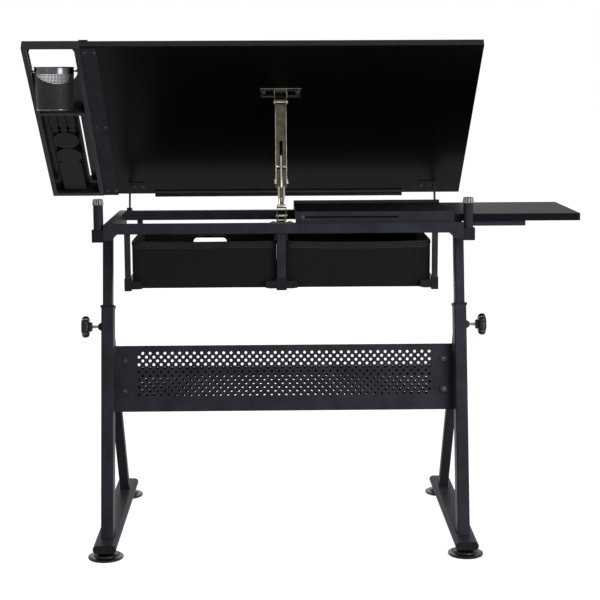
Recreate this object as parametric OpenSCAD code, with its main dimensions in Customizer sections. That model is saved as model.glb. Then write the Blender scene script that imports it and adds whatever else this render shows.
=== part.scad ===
// Drafting table with a tilting top, a tool tray, a pull-out side board and two fabric drawers.
// Millimetres. +X is the user's right, +Y points to the back, +Z is up, and the floor is Z = 0.

/* [Drawing board] */
// Width of the drawing board without the tool tray
board_w = 962; // [860:1:1160]
// Depth of the drawing board from front edge to rear edge
board_d = 600; // [540:1:720]
// Thickness of the drawing board
board_t = 18; // [15:1:22]
// Distance of the board's left edge from the middle of the frame
board_left = 480; // [440:1:560]
// Tilt of the top as modelled
tilt = 40; // [30:1:45]

/* [Tool tray] */
// Width of the tool tray beside the drawing board
tray_w = 138; // [130:1:166]
// Height of the tray's rim
tray_h = 23.5; // [20:0.5:28]
// Sheet thickness of the tray
tray_t = 3; // [2:0.5:4]
// Width of the tray's inward lips
tray_lip = 12; // [8:1:14]
// Length of the organiser insert
organiser_l = 334; // [320:1:360]
// Diameter of the cup's rim
cup_d = 100; // [84:1:104]
// Height of the cup
cup_h = 105; // [90:1:126]

/* [Upper frame] */
// Width over the two side rails
frame_w = 874; // [800:1:1050]
// Depth of the upper frame
frame_d = 386; // [350:1:460]
// Distance of the frame's rear face from the middle of the base
frame_rear = 156; // [130:1:180]
// Height of the top of the rails above the floor
rail_top = 798; // [780:1:960]
// Side of the square front and rear rails
rail = 25; // [20:1:30]
// Height of the side rails
side_h = 40; // [34:1:48]
// Width of the side rails
side_w = 20; // [18:1:24]
// Wall of the rail tubes
rail_wall = 1.5; // [1:0.1:2]
// Height of the rest pads above the rails
rest_h = 61; // [50:1:73]

/* [Legs] */
// Backward lean of the legs
lean = 12.5; // [8:0.5:15]
// Width of the outer leg tube
leg_w = 30; // [26:1:36]
// Depth of the outer leg tube
leg_d = 50; // [44:1:60]
// Wall of the outer leg tube
leg_wall = 2; // [1.5:0.1:2.2]
// Length of the outer leg tube
leg_l = 558; // [520:1:570]
// Wall of the inner leg tube
inner_wall = 1.5; // [1:0.1:2]
// How far the inner leg tube reaches into the outer one
leg_insert = 298; // [240:1:357]
// Side of the square brace tube
brace = 25; // [20:1:30]
// Angle of the brace from upright
brace_lean = 31.5; // [25:0.5:34]

/* [Base] */
// Length of the floor bars
bar_l = 596; // [540:1:715]
// Width of the floor bars
bar_w = 56; // [48:1:67]
// Height of the floor bars
bar_h = 20; // [18:1:24]
// Diameter of the levelling feet
foot_d = 86; // [70:1:90]
// Distance between the front and rear feet
foot_span = 540; // [450:1:560]

/* [Shelf trough] */
// Height of the trough's rear wall
shelf_h = 164; // [136:1:180]
// Depth of the trough
shelf_d = 78; // [60:1:90]
// Height of the trough's front wall
shelf_lip = 112; // [80:1:120]
// Sheet thickness of the trough
shelf_t = 1.5; // [1:0.1:2]
// Diameter of the round perforations
hole_d = 6.8; // [4:0.1:7.5]
// Spacing of the perforations along a row
hole_pitch = 18.3; // [16:0.1:22]

/* [Drawers] */
// Width of one fabric drawer
drawer_w = 352; // [290:1:356]
// Depth of one fabric drawer from front to back
drawer_d = 352; // [290:1:356]
// Height of one fabric drawer
drawer_h = 115; // [95:1:121]
// Wall thickness of the drawers
drawer_t = 4; // [3:0.5:5]
// Side of the hanger tubes
hanger = 14; // [12:1:16]

/* [Side board] */
// Length of the pull-out side board
side_board_l = 696; // [580:1:835]
// Thickness of the side board
side_board_t = 18; // [15:1:22]
// Distance of the side board's inner end from the middle of the frame
side_board_in = 30; // [24:1:60]
// Travel of the side board
side_travel = 230; // [190:1:276]

/* [Support stay] */
// Length of the upper channel from its pivot to its open end
stay_channel_l = 220; // [200:1:228]
// Width of the upper channel
stay_w = 28; // [26:1:32]
// Distance from the lower pivot to the ratchet rollers
stay_bar_l = 124; // [120:1:128]
// Distance of the upper pivot from the board's front edge
stay_up = 421; // [414:1:429]

/* [Knobs] */
// Diameter of the clamp knobs
knob_d = 54; // [45:1:65]
// Thickness of the clamp knobs
knob_t = 26; // [22:1:31]
// Diameter of the clamp screws
screw_d = 8; // [6:1:10]

/* [Hidden] */
$fn = 48;

// Clearances and small common sizes
seat = 0.3;
run_gap = 0.05;
slide_gap = 0.25;
eps = 1;
steel = "#2b2e31";
black = "#141516";

// Levelling feet and floor bars
foot_disc_h = 7;
foot_hub_h = 14;
bar_z = 20;
bar_top = bar_z + bar_h;
bar_wall = 2;
bar_cap_t = 4;
stem_d = 10;
stem_in = 12;

leg_span = frame_w - 2;

// Leg frame: a runs up along the leg from the bar's top, b points back across it
leg_foot_y = 214.4;
leg_rise = cos(lean);
side_bottom = rail_top - side_h;
inner_w = leg_w - 2 * leg_wall - 3;
inner_d = leg_d - 2 * leg_wall - 3;
inner_top = (side_bottom - bar_top) / leg_rise + leg_d;
collar_t = 6;
collar_lip = 2;
collar_in = 30;
leg_x = leg_span / 2;
inner_x = leg_x - leg_w / 2;

// Clamp knobs
knob_a = leg_l - collar_in - 17;
boss_l = 9;
boss_d = 24;
knob_gap = 15;
knob_x = leg_x + leg_w / 2 + boss_l + knob_gap;

// Braces
brace_wall = 1.5;
brace_foot_y = -210;

// Shelf trough in the leg frame
shelf_a = 300;
shelf_b = -18;
shelf_w = 2 * inner_x - 1;
ear_t = 3;
ear_l = 36;
ear_h = 34;
ear_a = [51, 127];
ear_bolt_in = 24;
bolt_d = 6;
hole_rows = 12;
row_pitch = hole_pitch / 2 + 0.2;
hole_margin = 59;
shelf_fillet = 4;

// Upper frame
front_y = frame_rear - frame_d;
frame_x = frame_w / 2;
inner_frame_x = frame_x - side_w;
rail_bottom = rail_top - rail;
rest_d = 24;
rest_block = 28;
rest_block_h = 30;
rest_block_z = side_bottom - 4;
rest_x = frame_x + rest_d / 2 + 0.5;
rest_y = frame_rear - rest_block / 2 - 1;
cap_h = 15;
cap_d = 28;
cap_ribs = 12;

// Guide bars and side board
side_board_z = rail_top + seat;
guide_h = 26;
guide_t = 3;
guide_foot = 20;
guide_z = rail_top;
guide_slot_z = rail_top + 10;
guide_slot_h = 5;
guide_l = inner_frame_x - side_board_in + 1;
guide_y_rear = frame_rear - rail - guide_t;
guide_y_front = front_y + rail + guide_t;
side_board_y0 = guide_y_front + seat;
side_board_y1 = guide_y_rear - seat;
stud_d = 4;
stud_x = -side_board_in - 17;
stud_in = 25;
strip_l = 140;
strip_h = 13;
strip_w = 12;

// Drawers and their hangers
hanger_mid_w = 22;
drawer_gap = 1.5;
hanger_x = hanger_mid_w / 2 + drawer_w + 3 * drawer_gap + hanger / 2;
hanger_y = [front_y + rail / 2, frame_rear - rail / 2];
drawer_z = rail_top - 159.7;
runner_z = drawer_z - seat - 2;
runner_h = 14;
corner_z = runner_z - 2;
corner_h = 30;
corner_w = hanger + 3;
arm_l = 26;
arm_h = 18;
arm_up = 5;
drawer_x0 = hanger_mid_w / 2 + drawer_gap;
hung_x = 6;
drawer_back = frame_rear - rail / 2 - corner_w / 2 - 2;
drawer_front = drawer_back - drawer_d;
ledge_w = 20;
grip_w = 104;
grip_h = 36;
grip_wall = 8;
grip_z = drawer_z + drawer_h - 39;

// Tilt hinge and board frame
hinge_y = front_y - 12;
hinge_z = rail_top - 6;
hinge_s = 13;
strip_t = 1.5;
hinge_n = rail_top + rest_h + strip_t + seat - hinge_z;
hinge_pin_d = 8;
arm_x = 408;
arm_t = 4;
arm_gap = 0.4;
arm_r = 11;
arm_step = rail_top - hinge_z + 4;
lug_t = 4;
lug_w = 24;
plate_w = 45;
plate_s = [27, 52];
plate_t = 2.5;

// Board, tray and trim
board_right = board_w - board_left;
tray_out = board_right + tray_w;
strip_x = 38;
cover_w = 22;
cover_t = 1.5;
ledge_l = 670;
ledge_x = 10;
ledge_t = 3;
ledge_drop = 8;
ledge_rise = 10;
screw_head_d = 9;
screw_head_h = 2;

// Cup
cup_x = board_right + 71.5;
cup_s = board_d - 94;
cup_n = board_t - tray_t - 10;
cup_taper = 4;
cup_t = 1.2;
cup_rim_t = 2;
cup_pin_d = 4;
cup_above = 10;
cup_band_h = 17;
cup_hole = cup_d + 9;
cup_hole_s = [board_d - 158, board_d - 13];
cup_hole_r = 28;
tray_bottom = board_t - tray_h;
rib_s = 56;
rib_t = 6;

// Organiser insert
organiser_w = tray_w - 54;
organiser_x = tray_out - tray_lip - 8 - organiser_w / 2;
organiser_s = 10;
organiser_t = 2;
organiser_floor = 2;
well_d = 62;
well_s = [158, 225];
tub_w = 54;
tub_l = 122;
tub_s = 68;
pen_w = 16;
pen_l = 48;
pen_s = 303;
pen_pitch = 22;
pot_d = 14;
pot_s = 268;
slit_w = 4;
slit_l = 282;
slit_in = 4.5;
slit_s = 52;

// Stay: pivots in the middle plane of the frame
stay_foot_y = frame_rear - rail / 2;
stay_foot_z = rail_top + 18;
stay_n = -25;
stay_pin_d = 6;
stay_t = 1.5;
stay_flange = 14;
stay_slot_w = 8;
stay_slot_from = 98;
stay_tongue_w = 5.6;
stay_tongue_past = 28;
stay_bar_w = 16;
stay_bar_t = 5;
stay_fork_w = 24;
stay_x = 5;
stay_foot_w = 56;

// The frame's middle is moved so that the whole table is centred on X = 0
side_reach = side_board_in + side_board_l;
centre_x = (side_reach - tray_out) / 2;

function board_y(s, n) = hinge_y + (s - hinge_s) * cos(tilt) - (n + hinge_n) * sin(tilt);
function board_z(s, n) = hinge_z + (s - hinge_s) * sin(tilt) + (n + hinge_n) * cos(tilt);

stay_top = [board_y(stay_up, stay_n), board_z(stay_up, stay_n)];
stay_dir = atan2(stay_top[1] - stay_foot_z, stay_top[0] - stay_foot_y);
stay_len = norm([stay_top[1] - stay_foot_z, stay_top[0] - stay_foot_y]);
stay_roller_s = stay_len - stay_bar_l;

module placed() { translate([centre_x, 0, 0]) children(); }
// The hanger and its drawers sit a little off the frame's middle
module hung() { translate([centre_x + hung_x, 0, 0]) children(); }
module both_sides() { for (side = [-1, 1]) scale([side, 1, 1]) children(); }
module left() { mirror([1, 0, 0]) children(); }

// The stay works a little off the frame's middle
module in_stay() { translate([centre_x + stay_x, 0, 0]) children(); }
// A leg's own frame: Z runs up the leg and Y points back across it
module on_leg() { translate([0, leg_foot_y, bar_top]) rotate([lean, 0, 0]) children(); }
// The top's own frame: Y runs up the board from its front edge and Z is its normal
module on_board() {
    translate([0, hinge_y, hinge_z]) rotate([tilt, 0, 0]) translate([0, -hinge_s, hinge_n]) children();
}
// A drawn profile, X to the back and Y up, carried along X
module along_x(l) { rotate([90, 0, 90]) linear_extrude(l) children(); }
// A drawn profile, X to the right and Y up, carried to the back along Y
module along_y(l) { translate([0, l, 0]) rotate([90, 0, 0]) linear_extrude(l) children(); }
module pin_x(d, l) { rotate([0, 90, 0]) cylinder(d = d, h = l); }
module pin_y(d, l) { rotate([-90, 0, 0]) cylinder(d = d, h = l); }

module rounded(w, h, r) {
    square([w - 2 * r, h], center = true);
    square([w, h - 2 * r], center = true);
    for (x = [-1, 1], y = [-1, 1]) translate([x * (w / 2 - r), y * (h / 2 - r)]) circle(r);
}
module ring(w, h, r, wall) {
    difference() {
        rounded(w, h, r);
        rounded(w - 2 * wall, h - 2 * wall, r - wall * 0.8);
    }
}

// Base
module base_bar() {
    color(steel) difference() {
        translate([leg_x, -bar_l / 2, bar_z + bar_h / 2]) along_y(bar_l) ring(bar_w, bar_h, bar_h / 2 - 0.1, bar_wall);
        for (y = [-1, 1]) translate([leg_x, y * foot_span / 2, bar_z - eps])
            cylinder(d = stem_d + 2 * run_gap, h = bar_wall + 2 * eps);
    }
}
module bar_end_cap() {
    inside = bar_h - 2 * bar_wall;
    translate([leg_x, bar_l / 2, bar_z + bar_h / 2]) {
        along_y(bar_cap_t) rounded(bar_w, bar_h, bar_h / 2 - 0.1);
        translate([0, -10, 0]) along_y(10) rounded(bar_w - 2 * bar_wall, inside, inside / 2 - 0.1);
    }
}
module bar_end_caps() {
    color(black) both_sides() {
        bar_end_cap();
        mirror([0, 1, 0]) bar_end_cap();
    }
}
module foot() {
    color(black) {
        cylinder(d = foot_d, h = foot_disc_h * 0.6);
        translate([0, 0, foot_disc_h * 0.6]) cylinder(d1 = foot_d, d2 = foot_d - 14, h = foot_disc_h * 0.4);
        translate([0, 0, foot_disc_h]) cylinder(d1 = foot_d - 34, d2 = stem_d * 2, h = foot_hub_h - foot_disc_h);
        translate([0, 0, foot_disc_h]) cylinder(d = stem_d, h = bar_z + stem_in - foot_disc_h);
    }
}
module foot_at(side, end) { translate([side * leg_x, end * foot_span / 2, 0]) foot(); }

module leg_tube(w, d, wall, from, to) {
    translate([leg_x, 0, from]) linear_extrude(to - from) ring(w, d, 4, wall);
}
module outer_post() {
    color(steel) difference() {
        on_leg() leg_tube(leg_w, leg_d, leg_wall, -leg_d / 2, leg_l);
        translate([leg_x - leg_w, 0, bar_top - leg_d]) cube([2 * leg_w, frame_d, leg_d]);
        on_leg() translate([leg_x, 0, knob_a]) pin_x(screw_d + 2, leg_w);
    }
}
module brace_post() {
    reach = (leg_foot_y - leg_d / 2 / leg_rise - brace_foot_y) / (tan(brace_lean) + tan(lean));
    color(steel) difference() {
        translate([leg_x, brace_foot_y, bar_top]) rotate([-brace_lean, 0, 0]) translate([0, 0, -brace])
            linear_extrude(reach / cos(brace_lean) + 2 * brace) ring(brace, brace, 3, brace_wall);
        translate([leg_x - brace, brace_foot_y - 2 * brace, bar_top - 2 * brace])
            cube([2 * brace, 4 * brace, 2 * brace]);
        on_leg() translate([leg_x - brace, -leg_d / 2, shelf_a]) cube([2 * brace, 3 * leg_d, leg_l]);
    }
}
module post_bushings() {
    color(black) both_sides() on_leg() translate([leg_x, 0, leg_l]) difference() {
        union() {
            linear_extrude(collar_t) rounded(leg_w + 2 * collar_lip, leg_d + 2 * collar_lip, 5);
            translate([0, 0, -collar_in]) linear_extrude(collar_in)
                rounded(leg_w - 2 * leg_wall, leg_d - 2 * leg_wall, 2.4);
        }
        translate([0, 0, -collar_in - eps]) linear_extrude(collar_in + collar_t + 2 * eps)
            rounded(inner_w + 2 * slide_gap, inner_d + 2 * slide_gap, 4);
    }
}
module knob_bosses() {
    color(steel) both_sides() on_leg() translate([leg_x + leg_w / 2, 0, knob_a]) rotate([0, 90, 0])
        difference() {
            cylinder(d1 = boss_d, d2 = screw_d + 5, h = boss_l);
            translate([0, 0, -eps]) cylinder(d = screw_d + 2 * run_gap, h = boss_l + 2 * eps);
        }
}

// Clamp knobs
module knob() {
    color(black) on_leg() translate([knob_x, 0, knob_a]) rotate([0, 90, 0]) difference() {
        union() {
            cylinder(d = knob_d * 0.45, h = knob_t * 0.3);
            translate([0, 0, knob_t * 0.2]) cylinder(d1 = knob_d * 0.86, d2 = knob_d, h = knob_t * 0.25);
            translate([0, 0, knob_t * 0.45]) cylinder(d1 = knob_d, d2 = knob_d * 0.92, h = knob_t * 0.4);
            translate([0, 0, knob_t * 0.85]) cylinder(d1 = knob_d * 0.92, d2 = knob_d * 0.7, h = knob_t * 0.15);
        }
        for (turn = [0 : 60 : 300]) rotate(turn) translate([knob_d * 0.62, 0, -eps])
            cylinder(d = knob_d * 0.34, h = knob_t + 2 * eps);
        translate([0, 0, -eps]) cylinder(d = screw_d, h = knob_t * 0.6 + eps);
    }
}
module knob_screw() {
    from = leg_x + inner_w / 2 + slide_gap;
    color("silver") on_leg() translate([from, 0, knob_a])
        pin_x(screw_d, knob_x + knob_t * 0.6 - from);
}

// Shelf trough
module ear() {
    translate([0, shelf_b, 0]) rotate([-90, 0, 0]) linear_extrude(ear_t) difference() {
        union() {
            polygon([[0, -ear_h / 2], [0, ear_h / 2], [ear_l - 8, 9], [ear_l - 8, -9]]);
            translate([ear_l - 10, 0]) circle(9.5);
        }
        translate([ear_bolt_in, 0]) circle(d = bolt_d);
    }
}
module at_ears() {
    both_sides() on_leg() for (a = ear_a) translate([inner_x, 0, shelf_a + a]) left() children();
}
module shelf_ears() { color(steel) at_ears() ear(); }
module hole_field(rows) {
    count = floor((shelf_w - 2 * hole_margin) / hole_pitch);
    for (row = [0 : rows - 1], i = [0 : count])
        translate([(i - count / 2) * hole_pitch + (row % 2 == 0 ? 0.5 : -0.5) * hole_pitch / 2, row * row_pitch])
            circle(d = hole_d, $fn = 16);
}
module perforated_wall(h, rows, first) {
    rotate([90, 0, 0]) linear_extrude(shelf_t) difference() {
        translate([-shelf_w / 2, 0]) square([shelf_w, h]);
        translate([0, first]) hole_field(rows);
        for (x = [-1, 1], a = ear_a) if (a < h && h == shelf_h)
            translate([x * (inner_x - ear_bolt_in), a]) circle(d = bolt_d);
    }
}
module shelf_trough() {
    rear = shelf_b - seat;
    front = rear - shelf_d;
    color(steel) on_leg() translate([0, 0, shelf_a]) {
        translate([0, rear, 0]) perforated_wall(shelf_h, hole_rows, 42);
        translate([0, front + shelf_t, 0]) perforated_wall(shelf_lip, hole_rows - 4, 20);
        translate([-shelf_w / 2, front + shelf_t / 2, 0]) cube([shelf_w, shelf_d - 1.5 * shelf_t, shelf_t]);
    }
}
module shelf_bolts() {
    grip = ear_t + shelf_t + seat;
    color("dimgray") at_ears() translate([ear_bolt_in, shelf_b + ear_t, 0]) {
        pin_y(12, 3);
        translate([0, -grip - 6, 0]) pin_y(bolt_d, grip + 6);
        translate([0, -grip - 5, 0]) rotate([-90, 0, 0]) cylinder(d = 12, h = 5, $fn = 6);
    }
}

// Upper frame
module inner_post() {
    color(steel) difference() {
        on_leg() leg_tube(inner_w, inner_d, inner_wall, leg_l - leg_insert, inner_top);
        translate([leg_x - leg_w, -frame_d, side_bottom]) cube([2 * leg_w, 2 * frame_d, 3 * leg_d]);
    }
}
module cross_rail(y) {
    color(steel) translate([-inner_frame_x, y, rail_top - rail / 2]) along_x(2 * inner_frame_x)
        ring(rail, rail, 2.5, rail_wall);
}
module side_rail() {
    color(steel) translate([inner_frame_x + side_w / 2, front_y, rail_top - side_h / 2]) {
        translate([0, rail_wall, 0]) along_y(frame_d - 2 * rail_wall) ring(side_w, side_h, 2.5, rail_wall);
        for (y = [0, frame_d - rail_wall]) translate([0, y, 0]) along_y(rail_wall) rounded(side_w, side_h, 2.5);
    }
}
module rest_blocks() {
    color(black) both_sides() translate([frame_x, rest_y - rest_block / 2, rest_block_z]) difference() {
        cube([rest_block, rest_block, rest_block_h]);
        translate([rest_x - frame_x, rest_block / 2, 4]) cylinder(d = rest_d, h = rest_block_h);
    }
}
module rest_posts() {
    from = rest_block_z + 4;
    color(steel) both_sides() translate([rest_x, rest_y, from]) difference() {
        cylinder(d = rest_d, h = rail_top + rest_h - cap_h - from);
        translate([0, 0, -eps]) cylinder(d = rest_d - 2 * rail_wall, h = 2 * rest_h + side_h);
    }
}
module rest_caps() {
    color("gainsboro") both_sides() translate([rest_x, rest_y, rail_top + rest_h - cap_h]) difference() {
        union() {
            cylinder(d = cap_d, h = cap_h - 3);
            translate([0, 0, cap_h - 3]) cylinder(d1 = cap_d, d2 = cap_d - 6, h = 3);
            translate([0, 0, -8]) cylinder(d = rest_d - 2 * rail_wall, h = 8);
        }
        for (i = [0 : cap_ribs - 1]) rotate(i * 360 / cap_ribs) translate([cap_d / 2 + 1, 0, -eps])
            cylinder(d = 5, h = cap_h + 2 * eps, $fn = 16);
    }
}
module guide_bar(y, inward) {
    translate([-inner_frame_x, y, guide_z]) difference() {
        union() {
            translate([0, inward > 0 ? -guide_t : 0, 0]) cube([guide_l, guide_t, guide_h]);
            translate([0, inward > 0 ? -guide_foot : 0, 0]) cube([guide_l, guide_foot, 2]);
        }
        translate([stud_x - side_travel + inner_frame_x - guide_slot_h / 2, -guide_foot - eps, guide_slot_z - guide_z])
            cube([side_travel + guide_slot_h, 2 * guide_foot + 2 * eps, guide_slot_h]);
    }
}
module guide_bars() {
    color(steel) {
        guide_bar(guide_y_rear, -1);
        guide_bar(guide_y_front, 1);
    }
}
module hanger_post(x, y, w) {
    z = corner_z + corner_h - 6;
    translate([x, y, z]) linear_extrude(rail_bottom - z) ring(w, hanger, 1.5, 1.2);
}
module hanger_tubes() {
    color(steel) {
        for (y = hanger_y) {
            both_sides() hanger_post(hanger_x, y, hanger);
            hanger_post(0, y, hanger_mid_w);
        }
        both_sides() runner(hanger_x, hanger);
        runner(0, hanger_mid_w);
    }
}
module hanger_corner(x, y, w, arms) {
    depth = corner_w;
    difference() {
        translate([x - w / 2, y - depth / 2, corner_z]) {
            cube([w, depth, corner_h]);
            if (arms) translate([w / 2, 0, 0]) for (side = [-1, 1])
                if (side * x <= 0) translate([side > 0 ? w / 2 : -w / 2 - arm_l, 2, arm_up])
                    cube([arm_l, depth - 4, arm_h]);
        }
        translate([x, y, corner_z + corner_h - 6]) linear_extrude(corner_h) rounded(w - 3, hanger, 1.5);
    }
}
module hanger_corners() {
    color(black) for (y = hanger_y) {
        both_sides() hanger_corner(hanger_x, y, corner_w, y > 0);
        hanger_corner(0, y, hanger_mid_w + 3, y > 0);
    }
}
module runner(x, w) {
    from = hanger_y[0] + corner_w / 2;
    l = hanger_y[1] - hanger_y[0] - corner_w;
    translate([x, from, runner_z + 2 + runner_h / 2]) along_y(l) ring(w, runner_h, 1.5, 1.2);
}
module runner_ledge(x0, x1) {
    from = hanger_y[0] + corner_w / 2;
    l = hanger_y[1] - hanger_y[0] - corner_w;
    translate([x0, from, runner_z]) cube([x1 - x0, l, 2]);
}
module drawer_runners() {
    color(steel) {
        both_sides() runner_ledge(hanger_x - hanger / 2 - ledge_w, hanger_x + hanger / 2);
        runner_ledge(-hanger_mid_w / 2 - ledge_w, hanger_mid_w / 2 + ledge_w);
    }
}
module hinge_lugs() {
    color(steel) both_sides() for (x = [arm_x - arm_gap - lug_t, arm_x + arm_t + arm_gap])
        translate([x, 0, 0]) along_x(lug_t) difference() {
            union() {
                translate([hinge_y, hinge_z - lug_w / 2]) square([front_y - hinge_y, lug_w]);
                translate([hinge_y, hinge_z]) circle(d = lug_w);
            }
            translate([hinge_y, hinge_z]) circle(d = hinge_pin_d + 2 * run_gap);
            translate([front_y, hinge_z - lug_w]) square([lug_w, 2 * lug_w]);
        }
}
module hinge_pins() {
    l = arm_t + 2 * (arm_gap + lug_t);
    color("silver") both_sides() translate([arm_x - arm_gap - lug_t, hinge_y, hinge_z]) {
        pin_x(hinge_pin_d, l);
        translate([l, 0, 0]) pin_x(hinge_pin_d + 5, 3);
        translate([-3, 0, 0]) pin_x(hinge_pin_d + 5, 3);
    }
}
module stay_foot() {
    ear_x = stay_fork_w / 2 - stay_t - 1 - 2;
    color("#8f8a78") {
        translate([-stay_foot_w / 2, stay_foot_y - 10, rail_top]) cube([stay_foot_w, 20, 2]);
        both_sides() translate([ear_x, 0, 0]) along_x(2) difference() {
            union() {
                translate([stay_foot_y - 7, rail_top]) square([14, stay_foot_z - rail_top]);
                translate([stay_foot_y, stay_foot_z]) circle(7);
            }
            translate([stay_foot_y, stay_foot_z]) circle(d = stay_pin_d);
        }
        both_sides() translate([stay_foot_w / 2 - 8, stay_foot_y, rail_top + 2]) cylinder(d = 8, h = 2.5);
    }
}
module stay_foot_pin() {
    l = stay_fork_w + 4;
    color("silver") translate([-l / 2, stay_foot_y, stay_foot_z]) pin_x(stay_pin_d, l);
}

// Tilting top
module main_board() {
    color(black) on_board() translate([-board_left, board_d / 2, board_t / 2]) along_x(board_w)
        rounded(board_d, board_t, 1.5);
}
module cup_opening() {
    low = cup_hole_s[0] + cup_hole / 2;
    high = cup_hole_s[1] - cup_hole_r;
    translate([0, low]) circle(cup_hole / 2);
    translate([-cup_hole / 2, low]) square([cup_hole, high - low]);
    translate([cup_hole_r - cup_hole / 2, low]) square([cup_hole - 2 * cup_hole_r, cup_hole_s[1] - low]);
    for (x = [-1, 1]) translate([x * (cup_hole / 2 - cup_hole_r), high]) circle(cup_hole_r);
}
module tray_frame() {
    inner = tray_w - 2 * tray_t;
    insert_x = organiser_x - board_right - organiser_w / 2;
    rim = board_t - tray_t - tray_bottom;
    color(black) on_board() translate([board_right, 0, 0]) {
        difference() {
            translate([0, 0, tray_bottom]) cube([tray_w, board_d, tray_h]);
            translate([tray_t, tray_t, tray_bottom + tray_t])
                cube([inner, board_d - 2 * tray_t, tray_h - 2 * tray_t]);
            translate([tray_lip, tray_lip, tray_bottom - eps])
                cube([tray_w - 2 * tray_lip, board_d - tray_lip - tray_t, tray_t + 2 * eps]);
            translate([insert_x + 4, organiser_s + 4, 0])
                cube([organiser_w - 8, organiser_l - 8, board_t + eps]);
            translate([insert_x - slit_in, organiser_s + slit_s, 0]) cube([slit_w, slit_l, board_t + eps]);
            translate([cup_x - board_right, 0, 0]) linear_extrude(board_t + eps) cup_opening();
        }
        translate([tray_t, organiser_s + organiser_l + 2, tray_bottom]) cube([inner, 10, rim]);
        translate([tray_t, rib_s, 0]) cube([insert_x - slit_in - tray_t, rib_t, board_t - tray_t]);
        translate([insert_x + organiser_w, rib_s, 0])
            cube([tray_w - tray_t - insert_x - organiser_w, rib_t, board_t - tray_t]);
    }
}
module well(w, l, r, cut) {
    t = cut ? 0 : organiser_t;
    z = cut ? organiser_floor + organiser_t : organiser_floor;
    top = board_t + organiser_t + (cut ? eps : 0);
    translate([0, 0, z]) linear_extrude(top - z) rounded(w + 2 * t, l + 2 * t, r + t);
}
module wells(cut) {
    for (s = well_s) translate([0, s, 0]) well(well_d, well_d, well_d / 2 - 0.1, cut);
    translate([0, tub_s, 0]) well(tub_w, tub_l, 6, cut);
    for (i = [-1 : 1]) translate([i * pen_pitch, 0, 0]) {
        translate([0, pen_s, 0]) well(pen_w, pen_l, pen_w / 2 - 0.1, cut);
        translate([0, pot_s, 0]) well(pot_d, pot_d, pot_d / 2 - 0.1, cut);
    }
}
module organiser() {
    color("#1b1c1e") on_board() translate([organiser_x, organiser_s, 0]) difference() {
        union() {
            translate([-organiser_w / 2, 0, board_t]) cube([organiser_w, organiser_l, organiser_t]);
            wells(false);
        }
        wells(true);
    }
}
module joining_strip() {
    color(steel) on_board() translate([board_right - strip_x, -3, -strip_t])
        cube([strip_x, board_d - 3, strip_t]);
}
module seam_cover() {
    color(black) on_board() translate([board_right - cover_w + 3, 0, board_t])
        cube([cover_w, board_d + 2, cover_t]);
}
module screw_at(x, s, n) {
    translate([x, s, n - screw_head_h]) cylinder(d1 = screw_head_d - 3, d2 = screw_head_d, h = screw_head_h);
}
module underside_screws() {
    color("dimgray") on_board() {
        for (s = [18, board_d / 2 - 6, board_d - 21], x = [10, strip_x - 5])
            screw_at(board_right - x, s, -strip_t);
        both_sides() for (x = [10, 34]) screw_at(arm_x - x, plate_s[0] + 10, -plate_t);
        translate([stay_x, 0, 0]) both_sides() screw_at(42, stay_up + 6, -2);
    }
}
module pencil_ledge() {
    color(black) on_board() translate([ledge_x - ledge_l / 2, 0, 0]) along_x(ledge_l) union() {
        translate([-ledge_t, -ledge_drop]) square([ledge_t, board_t + ledge_drop + ledge_rise]);
        translate([-ledge_t, -ledge_t]) square([14 + ledge_t, ledge_t]);
    }
}
module hinge_arms() {
    color(steel) on_board() both_sides() {
        translate([arm_x, 0, 0]) along_x(arm_t) difference() {
            union() {
                polygon([
                    [plate_s[0], 0], [plate_s[1], 0], [hinge_s + arm_r - 0.5, arm_step - hinge_n],
                    [hinge_s + arm_r - 0.5, -hinge_n], [hinge_s - arm_r + 0.5, -hinge_n]
                ]);
                translate([hinge_s, -hinge_n]) circle(arm_r);
            }
            translate([hinge_s, -hinge_n]) circle(d = hinge_pin_d + 2 * run_gap);
        }
        translate([arm_x - plate_w + arm_t, plate_s[0], -plate_t])
            cube([plate_w, plate_s[1] - plate_s[0], plate_t]);
    }
}
module stay_bracket() {
    ear_in = stay_w / 2 + 0.5;
    color("#8f8a78") on_board() {
        translate([-51, stay_up - 12, -2]) cube([102, 36, 2]);
        both_sides() translate([ear_in, 0, 0]) along_x(1.5) difference() {
            union() {
                translate([stay_up - 7, stay_n]) square([14, -stay_n]);
                translate([stay_up, stay_n]) circle(7);
            }
            translate([stay_up, stay_n]) circle(d = stay_pin_d);
        }
    }
}
module stay_bracket_pin() {
    l = stay_w + 8;
    color("silver") on_board() translate([-l / 2, stay_up, stay_n]) pin_x(stay_pin_d, l);
}
module cup_pivots() {
    reach = cup_hole / 2;
    color("dimgray") on_board() translate([cup_x, cup_s, 0]) both_sides() {
        translate([reach - 1, 0, cup_n]) pin_x(cup_pin_d + 4, 2);
        translate([reach - 1 - 6, 0, cup_n]) pin_x(cup_pin_d, 8);
        translate([reach + 1, -4, cup_n]) cube([2, 8, board_t - tray_t - cup_n]);
    }
}

// Support stay
module on_stay_top() {
    translate([0, stay_top[0], stay_top[1]]) rotate([stay_dir + 180, 0, 0]) children();
}
module stay_channel() {
    half = stay_flange / 2;
    color("#8f8a78") on_stay_top() difference() {
        translate([-stay_w / 2, -8, -half]) cube([stay_w, stay_channel_l + 8, stay_flange]);
        translate([-stay_w / 2 + stay_t, -8 - eps, stay_t - half])
            cube([stay_w - 2 * stay_t, stay_channel_l + 8 + 2 * eps, stay_flange - stay_t + eps]);
        translate([-stay_slot_w / 2, stay_slot_from, -half]) cube([stay_slot_w, stay_channel_l, 2 * stay_flange]);
        translate([-stay_w / 2 - eps, 0, 0]) pin_x(stay_pin_d + 2 * run_gap, stay_w + 2 * eps);
    }
}
module stay_rollers() {
    inside = stay_tongue_w / 2 + 1;
    color("gainsboro") on_stay_top() both_sides() translate([inside, stay_roller_s, 0])
        pin_x(7, stay_w / 2 - stay_t - inside);
}
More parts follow.
